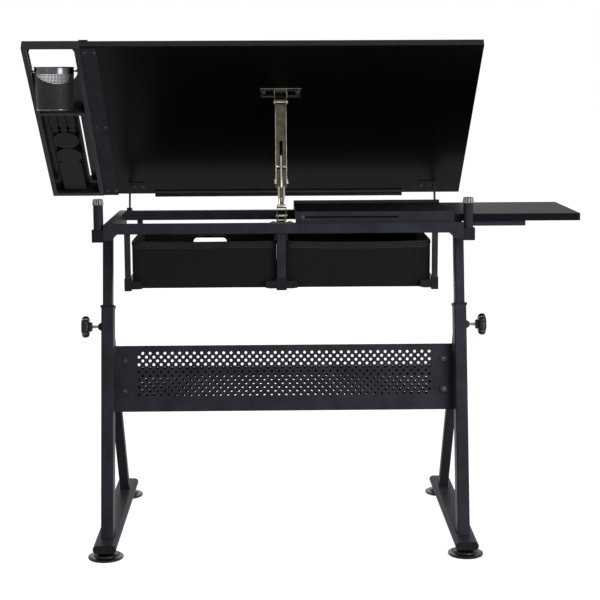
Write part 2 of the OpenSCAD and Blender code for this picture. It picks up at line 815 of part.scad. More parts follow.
module stay_bar() {
    fork_in = stay_fork_w / 2 - stay_t;
    color("#8f8a78") translate([0, stay_foot_y, stay_foot_z]) rotate([stay_dir, 0, 0]) difference() {
        union() {
            translate([-stay_tongue_w / 2, 60, -stay_bar_t / 2])
                cube([stay_tongue_w, stay_bar_l + stay_tongue_past - 60, stay_bar_t]);
            translate([-stay_bar_w / 2, 24, -stay_bar_t / 2]) cube([stay_bar_w, 46, stay_bar_t]);
            translate([-stay_fork_w / 2, 20, -6]) cube([stay_fork_w, 6, 12]);
            both_sides() translate([fork_in, -7, -6]) cube([stay_t, 30, 12]);
        }
        translate([-2, 34, -stay_bar_t]) cube([4, 14, 2 * stay_bar_t]);
        translate([-stay_fork_w, 0, 0]) pin_x(stay_pin_d + 2 * run_gap, 2 * stay_fork_w);
    }
}

// Hanging cup, its axis upright
module at_cup() { translate([cup_x, board_y(cup_s, cup_n), board_z(cup_s, cup_n)]) children(); }
module cup_basket() {
    top = cup_d / 2 - 2;
    bottom = top - cup_taper;
    floor_z = cup_above - cup_h;
    color("#3a3c3e") at_cup() rotate_extrude() polygon([
        [0, floor_z], [bottom, floor_z], [top, cup_above - cup_band_h], [top - cup_t, cup_above - cup_band_h],
        [bottom - cup_t, floor_z + cup_t], [0, floor_z + cup_t]
    ]);
}
module cup_band() {
    top = cup_d / 2 - 2;
    color("silver") at_cup() difference() {
        rotate_extrude() polygon([
            [top - cup_t, cup_above - cup_band_h], [top, cup_above - cup_band_h],
            [top, cup_above - cup_rim_t], [cup_d / 2, cup_above - cup_rim_t],
            [cup_d / 2, cup_above], [top - cup_t, cup_above]
        ]);
        translate([-cup_d, 0, 0]) pin_x(cup_pin_d + 2 * run_gap, 2 * cup_d);
    }
}

// Pull-out side board
module side_board() {
    color(black) difference() {
        translate([-side_reach, (side_board_y0 + side_board_y1) / 2, side_board_z + side_board_t / 2])
            along_x(side_board_l) rounded(side_board_y1 - side_board_y0, side_board_t, 1.5);
        translate([stud_x, side_board_y1 - stud_in, guide_slot_z + guide_slot_h / 2]) pin_y(stud_d, stud_in + eps);
        translate([stud_x, side_board_y0 - eps, guide_slot_z + guide_slot_h / 2]) pin_y(stud_d, stud_in + eps);
    }
}
module side_board_strips() {
    color(steel) for (y = [side_board_y0 + 12, side_board_y1 - 12 - strip_w])
        translate([-frame_x - 17 - strip_l, y, side_board_z - strip_h]) cube([strip_l, strip_w, strip_h]);
}
module side_board_stud() {
    z = guide_slot_z + guide_slot_h / 2;
    past = guide_t + 2 * seat;
    translate([stud_x, side_board_y1 - stud_in, z]) {
        pin_y(stud_d, stud_in + past);
        translate([0, stud_in + past, 0]) pin_y(stud_d + 5, 2.5);
    }
}
module side_board_studs() {
    middle = (side_board_y0 + side_board_y1) / 2;
    color("silver") {
        side_board_stud();
        translate([0, middle, 0]) mirror([0, 1, 0]) translate([0, -middle, 0]) side_board_stud();
    }
}

// Fabric drawers
module grip_shape(w, h) { rounded(w, h, h / 2 - 0.1); }
module drawer() {
    color(black) difference() {
        translate([drawer_x0, drawer_front, drawer_z]) difference() {
            cube([drawer_w, drawer_d, drawer_h]);
            translate([drawer_t, drawer_t, drawer_t])
                cube([drawer_w - 2 * drawer_t, drawer_d - 2 * drawer_t, drawer_h]);
        }
        translate([drawer_x0 + drawer_w / 2, drawer_front - eps, grip_z]) along_y(drawer_t + 2 * eps)
            grip_shape(grip_w - grip_wall, grip_h - grip_wall);
    }
}
module drawer_grips() {
    lip = 1.5;
    hole = [grip_w - 2 * grip_wall, grip_h - 2 * grip_wall];
    color("silver") translate([drawer_x0 + drawer_w / 2, drawer_front - lip, grip_z]) difference() {
        union() {
            for (y = [0, drawer_t + lip]) translate([0, y, 0]) along_y(lip) grip_shape(grip_w, grip_h);
            translate([0, lip, 0]) along_y(drawer_t) grip_shape(grip_w - grip_wall, grip_h - grip_wall);
        }
        translate([0, -eps, 0]) along_y(drawer_t + 2 * lip + 2 * eps) grip_shape(hole[0], hole[1]);
    }
}

placed() left() base_bar();  // base_bar_l
placed() base_bar();  // base_bar_r
placed() bar_end_caps();
placed() left() outer_post();  // outer_post_l
placed() outer_post();  // outer_post_r
placed() left() brace_post();  // brace_l
placed() brace_post();  // brace_r
placed() post_bushings();
placed() knob_bosses();
placed() shelf_ears();
placed() shelf_trough();
placed() shelf_bolts();
placed() foot_at(-1, -1);  // foot_front_l
placed() foot_at(1, -1);  // foot_front_r
placed() foot_at(-1, 1);  // foot_rear_l
placed() foot_at(1, 1);  // foot_rear_r
placed() left() knob();  // knob_l
placed() knob();  // knob_r
placed() left() knob_screw();  // knob_screw_l
placed() knob_screw();  // knob_screw_r
placed() left() inner_post();  // inner_post_l
placed() inner_post();  // inner_post_r
placed() cross_rail(frame_rear - rail / 2);  // rear_rail
placed() cross_rail(front_y + rail / 2);  // front_rail
placed() left() side_rail();  // side_rail_l
placed() side_rail();  // side_rail_r
placed() rest_blocks();
placed() rest_posts();
placed() rest_caps();
placed() guide_bars();
hung() hanger_tubes();
hung() hanger_corners();
hung() drawer_runners();
placed() hinge_lugs();
placed() hinge_pins();
in_stay() stay_foot();
in_stay() stay_foot_pin();
placed() main_board();
placed() tray_frame();
placed() organiser();
placed() joining_strip();
placed() seam_cover();
placed() underside_screws();
placed() pencil_ledge();
placed() hinge_arms();
in_stay() stay_bracket();
in_stay() stay_bracket_pin();
placed() cup_pivots();
in_stay() stay_channel();
in_stay() stay_rollers();
in_stay() stay_bar();
placed() cup_basket();
placed() cup_band();
placed() side_board();
placed() side_board_strips();
placed() side_board_studs();
hung() left() drawer();  // drawer_l
hung() drawer();  // drawer_r
hung() left() drawer_grips();  // drawer_grips_l
hung() drawer_grips();  // drawer_grips_r
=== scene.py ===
import math

import bmesh
import bpy
from mathutils import Matrix, Vector, noise


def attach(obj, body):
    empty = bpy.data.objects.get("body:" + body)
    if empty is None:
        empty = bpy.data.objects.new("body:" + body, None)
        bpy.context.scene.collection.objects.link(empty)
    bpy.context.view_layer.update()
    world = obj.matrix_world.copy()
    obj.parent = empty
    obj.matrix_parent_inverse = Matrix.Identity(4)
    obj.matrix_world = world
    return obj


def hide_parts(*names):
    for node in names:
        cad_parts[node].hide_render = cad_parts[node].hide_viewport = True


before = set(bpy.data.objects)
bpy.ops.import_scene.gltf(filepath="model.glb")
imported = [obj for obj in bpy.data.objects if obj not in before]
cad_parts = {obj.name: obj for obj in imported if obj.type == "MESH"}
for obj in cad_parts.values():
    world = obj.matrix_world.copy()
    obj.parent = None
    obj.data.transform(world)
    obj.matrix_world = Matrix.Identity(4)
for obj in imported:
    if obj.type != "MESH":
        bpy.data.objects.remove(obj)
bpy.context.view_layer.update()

# ---------------------------------------------------------------- Camera
# A long lens stands behind the table, a little above the drawing board, and looks slightly down.
# It stands about 4 m away, so the two legs are seen nearly parallel.
CAMERA_PLACE = Vector((0.078708, 3.732224, 1.152888))
CAMERA_YAW, CAMERA_PITCH, CAMERA_ROLL = -0.01796179, 0.15053522, -0.0045655

lens = bpy.data.cameras.new("rear_view")
lens.sensor_width = 36.0
lens.lens = 88.928
camera = bpy.data.objects.new("rear_view", lens)
bpy.context.scene.collection.objects.link(camera)
bpy.context.scene.camera = camera
ahead = Vector((
    math.sin(CAMERA_YAW) * math.cos(CAMERA_PITCH),
    -math.cos(CAMERA_YAW) * math.cos(CAMERA_PITCH),
    -math.sin(CAMERA_PITCH),
))
across = ahead.cross(Vector((0, 0, 1))).normalized()
upward = across.cross(ahead)
rolled_across = across * math.cos(CAMERA_ROLL) + upward * math.sin(CAMERA_ROLL)
rolled_up = upward * math.cos(CAMERA_ROLL) - across * math.sin(CAMERA_ROLL)
camera.matrix_world = Matrix.Translation(CAMERA_PLACE) @ Matrix(
    (rolled_across, rolled_up, -ahead)
).transposed().to_4x4()

# ---------------------------------------------------------------- Floor and light
# A white sheet floor under soft studio lamps: it keeps the table's shadow, and the rest shows as plain white.
# The large soft lamp stands behind the table on the user's left, so the tubes there look paler.


def linear(colour):
    channels = [int(colour[i : i + 2], 16) / 255 for i in (1, 3, 5)]
    return tuple(c / 12.92 if c <= 0.04045 else ((c + 0.055) / 1.055) ** 2.4 for c in channels) + (1.0,)


def add(tree, kind, settings=None, links=None):
    made = tree.nodes.new("ShaderNode" + kind)
    for name, value in (settings or {}).items():
        if isinstance(name, str) and hasattr(made, name):
            setattr(made, name, value)
        else:
            made.inputs[name].default_value = value
    for name, source in (links or {}).items():
        tree.links.new(source, made.inputs[name])
    return made


def seen_by_eye(tree):
    path = add(tree, "LightPath")
    mirrored = add(tree, "Math", {"operation": "MAXIMUM"},
                   {0: path.outputs["Is Glossy Ray"], 1: path.outputs["Is Transmission Ray"]})
    return add(tree, "Math", {"operation": "MAXIMUM"},
               {0: path.outputs["Is Camera Ray"], 1: mirrored.outputs[0]})


SKY_LEVEL = 0.17
FLOOR_GLOW = 0.95

bpy.context.scene.view_settings.view_transform = "Standard"
world = bpy.data.worlds.new("studio")
bpy.context.scene.world = world
world.use_nodes = True
sky = world.node_tree
eye = seen_by_eye(sky)
level = add(sky, "MapRange", {"To Min": SKY_LEVEL, "To Max": 1.0}, {"Value": eye.outputs[0]})
sky.links.new(level.outputs["Result"], sky.nodes["Background"].inputs["Strength"])
sky.nodes["Background"].inputs["Color"].default_value = (1, 1, 1, 1)

sheet_floor = bmesh.new()
bmesh.ops.create_grid(sheet_floor, x_segments=8, y_segments=8, size=40)
floor_mesh = bpy.data.meshes.new("floor")
sheet_floor.to_mesh(floor_mesh)
sheet_floor.free()
floor = bpy.data.objects.new("floor", floor_mesh)
bpy.context.scene.collection.objects.link(floor)
paper = bpy.data.materials.new("white_paper")
paper.use_nodes = True
tree = paper.node_tree
tree.nodes.remove(tree.nodes["Principled BSDF"])
eye = seen_by_eye(tree)
glow_level = add(tree, "Math", {"operation": "MULTIPLY", 1: FLOOR_GLOW}, {0: eye.outputs[0]})
glow = add(tree, "Emission", {"Color": (1, 1, 1, 1)}, {"Strength": glow_level.outputs[0]})
matt = add(tree, "BsdfDiffuse", {"Color": linear("#b4b4b4")})
both = add(tree, "AddShader", links={0: glow.outputs[0], 1: matt.outputs[0]})
tree.links.new(both.outputs[0], tree.nodes["Material Output"].inputs["Surface"])
floor_mesh.materials.append(paper)

for name, place, aim, width, watts in (
    ("key_lamp", (-1.6, 2.4, 1.4), (-0.4, 0.1, 0.5), 1.4, 56),
    ("fill_lamp", (3.0, 3.0, 2.0), (0.3, 0.0, 0.6), 2.4, 6),
    ("top_lamp", (0.2, 0.4, 3.6), (0.0, 0.0, 0.7), 2.6, 5),
    ("front_lamp", (0.4, -4.2, 2.6), (0.0, 0.0, 0.7), 2.6, 34),
):
    lamp = bpy.data.lights.new(name, "AREA")
    lamp.size = width
    lamp.energy = watts
    stand = bpy.data.objects.new(name, lamp)
    stand.visible_camera = False
    bpy.context.scene.collection.objects.link(stand)
    stand.location = place
    stand.rotation_euler = (Vector(aim) - Vector(place)).to_track_quat("-Z", "Y").to_euler()

# ---------------------------------------------------------------- Floor bars, leg tubes and braces
# Welded steel tube with a satin charcoal powder coat. The coat is smooth at arm's length, with a faint
# orange-peel skin that breaks up the highlights; its real 1 mm grain is drawn at 3 mm so that it shows.
GRAIN = 0.003


def surface(name, colour, roughness, metallic=0.0, **more):
    material = bpy.data.materials.new(name)
    material.use_nodes = True
    shader = material.node_tree.nodes["Principled BSDF"]
    shader.inputs["Base Color"].default_value = linear(colour)
    shader.inputs["Roughness"].default_value = roughness
    shader.inputs["Metallic"].default_value = metallic
    for socket, value in more.items():
        shader.inputs[socket.replace("_", " ")].default_value = value
    return material


def grained(material, dark, light, size, depth, patch=0.05):
    tree = material.node_tree
    shader = tree.nodes["Principled BSDF"]
    where = add(tree, "TexCoord")
    fine = add(tree, "TexNoise", {"Scale": 1 / size, "Detail": 2.0}, {"Vector": where.outputs["Object"]})
    broad = add(tree, "TexNoise", {"Scale": 1 / patch, "Detail": 3.0}, {"Vector": where.outputs["Object"]})
    share = add(tree, "MapRange", {"From Min": 0.35, "From Max": 0.65}, {"Value": broad.outputs["Fac"]})
    tone = add(tree, "Mix", {"data_type": "RGBA", 6: linear(dark), 7: linear(light)},
               {0: share.outputs["Result"]})
    relief = add(tree, "Bump", {"Strength": 0.5, "Distance": depth}, {"Height": fine.outputs["Fac"]})
    tree.links.new(tone.outputs[2], shader.inputs["Base Color"])
    tree.links.new(relief.outputs["Normal"], shader.inputs["Normal"])
    return material


def coat(material, *nodes):
    for name in nodes:
        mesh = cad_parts[name].data
        if not mesh.materials:
            mesh.materials.append(material)
        for i in range(len(mesh.materials)):
            mesh.materials[i] = material


powder_coat = grained(
    surface("powder_coated_steel", "#303338", 0.42, Specular_IOR_Level=0.03), "#2c2e33", "#35383e", GRAIN,
                      0.0004)
coat(powder_coat, "base_bar_l", "base_bar_r", "outer_post_l", "outer_post_r", "brace_l", "brace_r",
     "knob_bosses", "shelf_ears")

# ---------------------------------------------------------------- Bar end caps and leg bushings
# Black polypropylene plugs pushed into the tube ends; the bushing is the slide of the inner tube.
# Moulded with a fine spark texture, so they look a little duller than the tubes.
moulded_black = grained(
    surface("moulded_polypropylene", "#1b1c1f", 0.5, Specular_IOR_Level=0.1), "#141518", "#1a1b1e", 0.002,
                        0.0003)
coat(moulded_black, "bar_end_caps", "post_bushings")

# ---------------------------------------------------------------- Levelling feet
# A moulded disc with a raised hub turns on a threaded M10 stem that screws into the bar's underside.
# The disc is glossy black nylon and the stem is plated steel, screwed up or down on an uneven floor.
CENTRE_X = 53.0
LEG_X = 436.0
FOOT_Y = 270.0
MM = 0.001


def turned(profile, steps=48):
    bm = bmesh.new()
    start = [bm.verts.new((r, 0, z)) for r, z in profile]
    line = [bm.edges.new(pair) for pair in zip(start, start[1:])]
    bmesh.ops.spin(bm, geom=start + line, cent=(0, 0, 0), axis=(0, 0, 1), angle=2 * math.pi,
                   steps=steps, use_merge=True)
    bmesh.ops.remove_doubles(bm, verts=bm.verts[:], dist=0.001)
    bmesh.ops.recalc_face_normals(bm, faces=bm.faces[:])
    return bm


def repeated(part, places):
    shape = bpy.data.meshes.new("shape")
    part.to_mesh(shape)
    part.free()
    whole = bmesh.new()
    for place in places:
        held = len(whole.verts)
        whole.from_mesh(shape)
        whole.verts.ensure_lookup_table()
        bmesh.ops.transform(whole, matrix=place, verts=whole.verts[held:])
    bpy.data.meshes.remove(shape)
    return whole


def together(*parts):
    whole = parts[0]
    for part in parts[1:]:
        shape = bpy.data.meshes.new("shape")
        part.to_mesh(shape)
        part.free()
        whole.from_mesh(shape)
        bpy.data.meshes.remove(shape)
    return whole


def made(name, bm, material, body, slot, stands_for=(), crease=35):
    bmesh.ops.transform(bm, matrix=Matrix.Scale(MM, 4), verts=bm.verts[:])
    mesh = bpy.data.meshes.new(name)
    bm.to_mesh(mesh)
    bm.free()
    mesh.materials.append(material)
    mesh.polygons.foreach_set("use_smooth", [True] * len(mesh.polygons))
    mesh.set_sharp_from_angle(angle=math.radians(crease))
    piece = bpy.data.objects.new(name, mesh)
    bpy.context.scene.collection.objects.link(piece)
    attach(piece, body)
    if stands_for:
        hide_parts(*stands_for)
    return piece


def thread(radius, start, end, pitch, depth):
    turns = int((end - start) / pitch)
    points = [(0, start)]
    for i in range(turns):
        z = start + i * pitch
        points += [(radius - depth, z), (radius - depth, z + 0.15 * pitch),
                   (radius, z + 0.4 * pitch), (radius, z + 0.6 * pitch), (radius - depth, z + 0.85 * pitch)]
    return points + [(radius - depth, end), (0, end)]


glossy_black = grained(
    surface("moulded_nylon", "#141518", 0.3, Specular_IOR_Level=0.22), "#111215", "#18191c", 0.004, 0.0003)
zinc_steel = grained(
    surface("zinc_plated_steel", "#8f9195", 0.32, 1.0), "#85878b", "#9b9da1", 0.002, 0.0001, 0.01)

black_oxide = grained(
    surface("blackened_steel", "#3c3d41", 0.34, 1.0), "#323337", "#4a4b4f", 0.002, 0.0001, 0.01)
foot_names = {"fl": ("foot_front_l", -1, -1), "fr": ("foot_front_r", 1, -1),
              "bl": ("foot_rear_l", -1, 1), "br": ("foot_rear_r", 1, 1)}
for key, (node, side, end) in foot_names.items():
    place = Matrix.Translation((CENTRE_X + side * LEG_X, end * FOOT_Y, 0))
    disc = turned([
        (0, 1.2), (14, 1.2), (15, 0), (24, 0), (25, 1.2), (30, 1.2), (31, 0), (41, 0), (42.6, 1.2),
        (43, 3.2), (42.4, 5.2), (40, 6.6), (34, 7.4), (30.5, 7.6), (30, 9.6), (28.6, 11.6), (26, 12.6),
        (22, 13.0), (20, 14.6), (17, 15.4), (8, 15.8), (0, 15.8)], 64)
    stem = turned(thread(5.0, 15.6, 31.5, 1.5, 0.6), 24)
    bmesh.ops.transform(disc, matrix=place, verts=disc.verts[:])
    bmesh.ops.transform(stem, matrix=place, verts=stem.verts[:])
    made("foot_disc_" + key, disc, glossy_black, "foot_" + key, "black_plastic", [node])
    made("foot_stem_" + key, stem, zinc_steel, "foot_" + key, "zinc_steel")

# ---------------------------------------------------------------- Clamp knobs and screws
# Lobed hand knobs of glass-filled nylon on M8 screws, which clamp the inner tube at its height.
# Each screw passes a threaded boss welded on the leg and ends against the inner tube.
LEG = Matrix.Translation((CENTRE_X, 214.4, 40)) @ Matrix.Rotation(math.radians(12.5), 4, "X")
KNOB_UP = 511.0
KNOB_LOBES = 6


def lobed(bm, lobes, depth, top, fade):
    for v in bm.verts:
        reach = math.hypot(v.co.x, v.co.y)
        if reach < 0.01:
            continue
        dip = 0.5 - 0.5 * math.cos(lobes * math.atan2(v.co.y, v.co.x))
        share = min(1.0, max(0.0, (reach - fade) / (top - fade)))
        v.co.xy *= 1 - depth * dip * share
    return bm


def knob_shape():
    grip = lobed(turned([
        (0, 0), (10.5, 0), (11.5, 1), (12.0, 6), (18, 6.6), (22, 7.4), (24.6, 9.4), (26.2, 12), (27, 15),
        (27, 19), (26.2, 22), (24.4, 24.2), (21.5, 25.6), (18, 26), (16.5, 25.2), (15, 24.8), (6, 25.4),
        (0, 25.6)], 96), KNOB_LOBES, 0.15, 27, 12.5)
    return grip


for side, word, short in ((-1, "left", "l"), (1, "right", "r")):
    outward = LEG @ Matrix.Translation((side * 475, 0, KNOB_UP)) @ Matrix.Rotation(side * math.pi / 2, 4, "Y")
    knob = knob_shape()
    bmesh.ops.transform(knob, matrix=outward, verts=knob.verts[:])
    made("knob_" + word, knob, glossy_black, "knob_" + word, "black_plastic", ["knob_" + short])
    screw = turned(thread(4.0, -27, 12, 1.9, 0.55), 24)
    bmesh.ops.transform(screw, matrix=outward, verts=screw.verts[:])
    made("clamp_screw_" + word, screw, zinc_steel, "knob_" + word, "bright_steel", ["knob_screw_" + short])

# ---------------------------------------------------------------- Shelf trough
# Folded 1.5 mm sheet with punched holes, powder coated like the tubes, and bolted to four welded ears
# by button-head bolts with plain washers and hex nuts.
coat(powder_coat, "shelf_trough")


def socket_head(across, height, socket):
    bm = turned([(across * 0.5, 0), (across * 0.5, height * 0.3), (across * 0.42, height * 0.75),
                 (across * 0.3, height), (socket * 0.5, height), (socket * 0.5, height * 0.4),
                 (0, height * 0.4)], 24)
    for v in bm.verts:
        reach = math.hypot(v.co.x, v.co.y)
        if 0 < reach <= socket * 0.5 + 0.01:
            turn = math.atan2(v.co.y, v.co.x) % (math.pi / 3) - math.pi / 6
            v.co.xy *= math.cos(math.pi / 6) / math.cos(turn)
    bmesh.ops.holes_fill(bm, edges=[e for e in bm.edges if e.is_boundary], sides=0)
    bmesh.ops.recalc_face_normals(bm, faces=bm.faces[:])
    return bm


def hex_nut(across, height):
    bm = bmesh.new()
    bmesh.ops.create_circle(bm, cap_ends=True, segments=6, radius=across / 2)
    face = bm.faces[:]
    lifted = bmesh.ops.extrude_face_region(bm, geom=face)
    bmesh.ops.translate(bm, vec=(0, 0, height),
                        verts=[v for v in lifted["geom"] if isinstance(v, bmesh.types.BMVert)])
    rims = [e for e in bm.edges if abs(e.verts[0].co.z - e.verts[1].co.z) < 0.01]
    bmesh.ops.bevel(bm, geom=rims, offset=0.6, affect="EDGES", segments=2, profile=0.5, material=-1)
    bmesh.ops.recalc_face_normals(bm, faces=bm.faces[:])
    return bm


ear_places = [LEG @ Matrix.Translation((side * 397, -15, 300 + up)) for side in (-1, 1) for up in (51, 127)]
back = Matrix.Rotation(-math.pi / 2, 4, "X")
heads = repeated(socket_head(11.5, 3.4, 6), [p @ back @ Matrix.Translation((0, 0, 1.0)) for p in ear_places])
washers = repeated(turned([(3, 0), (6.6, 0), (7, 0.4), (7, 0.9), (6.6, 1.2), (3, 1.2), (3, 0)], 32),
                   [p @ back for p in ear_places])
shanks = repeated(turned(thread(3.0, -11, 0.5, 1.5, 0.35), 20), [p @ back for p in ear_places])
nuts = repeated(hex_nut(11.5, 4.6), [p @ back @ Matrix.Translation((0, 0, -9.6)) for p in ear_places])
made("trough_bolts", together(heads, washers, shanks, nuts), black_oxide, "base", "zinc_steel",
     ["shelf_bolts"])

# ---------------------------------------------------------------- Upper frame
# Square and oblong steel tube, mitred, welded and powder coated, which slides on the inner leg tubes.
# The guide bars are folded strip with a long slot that the side board's studs run in.
coat(powder_coat, "inner_post_l", "inner_post_r", "rear_rail", "front_rail", "side_rail_l", "side_rail_r",
     "rest_posts", "guide_bars", "hanger_tubes", "drawer_runners", "hinge_lugs", "hinge_arms",
     "joining_strip")
coat(moulded_black, "rest_blocks", "hanger_corners")

# ---------------------------------------------------------------- Rest pads
# Clear ribbed vinyl bumpers pushed into the rest posts; the tray's steel strip lands on them when flat.
# Soft clear vinyl shows pale ribs with dark gaps between them.
clear_vinyl = surface("clear_vinyl", "#c4c6ca", 0.12, 0.0, IOR=1.45, Transmission_Weight=0.3)
grained(clear_vinyl, "#b4b6ba", "#d6d8dc", 0.004, 0.0002, 0.01)
cap_places = [Matrix.Translation((CENTRE_X + side * 449.5, 141, 844)) for side in (-1, 1)]
core = turned([(0, -8), (10.2, -8), (10.4, 0), (11.6, 0), (11.6, 11), (11.2, 12.6), (9.4, 13.8), (8.6, 13.4),
               (0, 13.0)], 64)
made("rest_pad_cores", repeated(core, cap_places), moulded_black, "frame", "clear_pad", ["rest_caps"])


def slab(low, high, rounding):
    bm = bmesh.new()
    low, high = Vector(low), Vector(high)
    bmesh.ops.create_cube(bm, size=1,
                          matrix=Matrix.Translation((low + high) / 2) @ Matrix.Diagonal((*(high - low), 1)))
    bmesh.ops.bevel(bm, geom=bm.edges[:], offset=rounding, affect="EDGES", segments=2, profile=0.5,
                    material=-1)
    return bm


PAD_RIBS = 12
rib = slab((10.6, -2.0, 0.2), (14, 2.0, 14.4), 0.9)
for v in rib.verts:
    v.co.x -= 2.4 * max(0.0, (v.co.z - 10.5) / 4)
ribs = repeated(rib, [p @ Matrix.Rotation(2 * math.pi * i / PAD_RIBS, 4, "Z")
                      for p in cap_places for i in range(PAD_RIBS)])
made("rest_pad_ribs", ribs, clear_vinyl, "frame", "clear_pad")

# ---------------------------------------------------------------- Drawing board and side board
# Black melamine-faced particle board, smooth and semi-gloss, with a charcoal edge band ironed on.
# Its faces are painted by which way they point: the drawing board's underside near black as painted shade,
# its top paler, and its edge band paler again, partly the band's own tone and partly painted highlight;
# the side board's top is painted a little paler and its edge a little darker, as painted light and shade.
BOARD_TILT = math.radians(40)
BOARD = (Matrix.Translation((CENTRE_X, -242, 792)) @ Matrix.Rotation(BOARD_TILT, 4, "X")
         @ Matrix.Translation((0, -13, 68.8)))
BOARD_THICK = 0.018


def melamine(name, up, low, face_dark, face_light, upper_face_painted_light, edge, roughness, gloss):
    material = grained(surface(name, face_dark, roughness, Specular_IOR_Level=gloss), face_dark, face_light,
                       0.0025, 0.00012, 0.2)
    tree = material.node_tree
    shader = tree.nodes["Principled BSDF"]
    face = shader.inputs["Base Color"].links[0].from_socket
    where = add(tree, "TexCoord")
    height = add(tree, "VectorMath", {"operation": "DOT_PRODUCT", 1: up}, {0: where.outputs["Object"]})
    middle = add(tree, "Math", {"operation": "SUBTRACT", 1: low + BOARD_THICK / 2},
                 {0: height.outputs["Value"]})
    away = add(tree, "Math", {"operation": "ABSOLUTE"}, {0: middle.outputs[0]})
    # Edge-band mask: the edge faces get their own tone, painted highlight on the drawing board and painted
    # shade on the side board.
    painted_edge_light_shade_mask = add(tree, "Math", {"operation": "LESS_THAN", 1: BOARD_THICK / 2 - 0.0011}, {0: away.outputs[0]})
    # Upper-face mask: the top face gets a paler tone than the underside, as painted light.
    upper = add(tree, "Math", {"operation": "GREATER_THAN", 1: 0.0}, {0: middle.outputs[0]})
    faces = add(tree, "Mix", {"data_type": "RGBA", 7: linear(upper_face_painted_light)}, {0: upper.outputs[0], 6: face})
    tone = add(tree, "Mix", {"data_type": "RGBA", 7: linear(edge)},
               {0: painted_edge_light_shade_mask.outputs[0], 6: faces.outputs[2]})
    tree.links.new(tone.outputs[2], shader.inputs["Base Color"])
    return material


board_up = Vector((0, -math.sin(BOARD_TILT), math.cos(BOARD_TILT)))
board_low = board_up.dot(BOARD.translation * MM)
# Drawing board: near-black underside as painted shade, paler top, and paler edge as painted highlight.
board_melamine = melamine("melamine_board", board_up, board_low, "#040405", "#060607",
                          "#17181a", "#2b2d31", 0.3, 0.06)
# Side board: a slightly paler top as painted light and a darker edge as painted shade.
side_melamine = melamine("melamine_side_board", Vector((0, 0, 1)), 0.7983, "#151618", "#18191c",
                         "#1a1b1e", "#121217", 0.5, 0.03)
coat(board_melamine, "main_board")
coat(side_melamine, "side_board")

# ---------------------------------------------------------------- Tool tray, organiser and trims
# Injection-moulded ABS frame with a thermoformed insert of wells; a black strip covers the seam.
# Screws through a joining strip hold the frame to the board's edge.
tray_abs = grained(surface("moulded_abs", "#2a2c30", 0.34, Specular_IOR_Level=0.12), "#26282c", "#2f3136",
                   0.002, 0.0003)
insert_abs = grained(surface("formed_abs", "#0e0f10", 0.42, Specular_IOR_Level=0.08), "#0d0d0e", "#111213",
                     0.003, 0.0003)
coat(tray_abs, "tray_frame", "seam_cover", "pencil_ledge")
coat(insert_abs, "organiser")

# ---------------------------------------------------------------- Board screws and hinge pins
# Blackened pan-head screws hold the steel strip, hinge arms and stay bracket under the board;
# zinc-plated shouldered rivets make the tilt hinges.
under = Matrix.Rotation(math.pi, 4, "X")
screw_spots = [(482 - x, s, -1.5) for s in (18, 294, 579) for x in (10, 33)]
screw_spots += [(side * (408 - x), 37, -2.5) for side in (-1, 1) for x in (10, 34)]
screw_spots += [(5 + side * 42, 427, -2.0) for side in (-1, 1)]
made("board_screws", repeated(socket_head(9.4, 2.4, 4.2),
                              [BOARD @ Matrix.Translation(s) @ under for s in screw_spots]),
     black_oxide, "top", "zinc_steel", ["underside_screws"])
pin_x = Matrix.Rotation(math.pi / 2, 4, "Y")
rivet = turned([(0, -3), (4.6, -3), (6.2, -1.8), (6.5, 0), (4, 0), (4, 12.8), (6.5, 12.8), (6.2, 14.6),
                (4.6, 15.8), (0, 15.8)], 32)
made("hinge_rivets", repeated(rivet, [
    Matrix.Translation((CENTRE_X + x, -242, 792)) @ pin_x for x in (403.6, -416.4)]),
    zinc_steel, "frame", "bright_steel", ["hinge_pins"])

# ---------------------------------------------------------------- Ratchet stay
# Pressed steel strip with a warm dull nickel plate: a channel with two rollers rides on a flat bar.
# Shouldered rivets make its two pivots, one on the frame and one on the bracket under the board.
# The stay's nickel is given a dark colour: painted reflection of the dark board and frame around it.
dull_nickel_dark_reflection = surface("nickel_plated_steel", "#4e4b41", 0.3, 1.0)
grained(dull_nickel_dark_reflection, "#454238", "#5a564a", 0.006, 0.0002, 0.02)
# A brighter copy of the nickel: the plate of the pins, rollers and bracket, and painted highlight on the
# channel's edge lips.
bright_nickel_and_highlight = grained(
    surface("bright_nickel_pins_and_highlights", "#a7a498", 0.22, 1.0), "#99968a", "#b5b2a6", 0.004, 0.0001, 0.01)
coat(dull_nickel_dark_reflection, "stay_foot", "stay_channel", "stay_bar")
STAY = Matrix.Translation((CENTRE_X + 5, 0, 0))
PIVOT_LOW = Vector((0, 143.5, 816))
PIVOT_HIGH = Vector((0, 42.4, 1087.8))
STAY_REACH = (PIVOT_HIGH - PIVOT_LOW).length
stay_turn = math.atan2(PIVOT_HIGH.z - PIVOT_LOW.z, PIVOT_HIGH.y - PIVOT_LOW.y)
STAY_DOWN = STAY @ Matrix.Translation(PIVOT_HIGH) @ Matrix.Rotation(stay_turn + math.pi, 4, "X")


def double_rivet(half, radius, dome):
    return turned([(0, -half - dome), (radius * 0.9, -half - dome * 0.8), (radius * 1.4, -half - dome * 0.3),
                   (radius * 1.45, -half), (radius, -half), (radius, half), (radius * 1.45, half),
                   (radius * 1.4, half + dome * 0.3), (radius * 0.9, half + dome * 0.8), (0, half + dome)],
                  32)


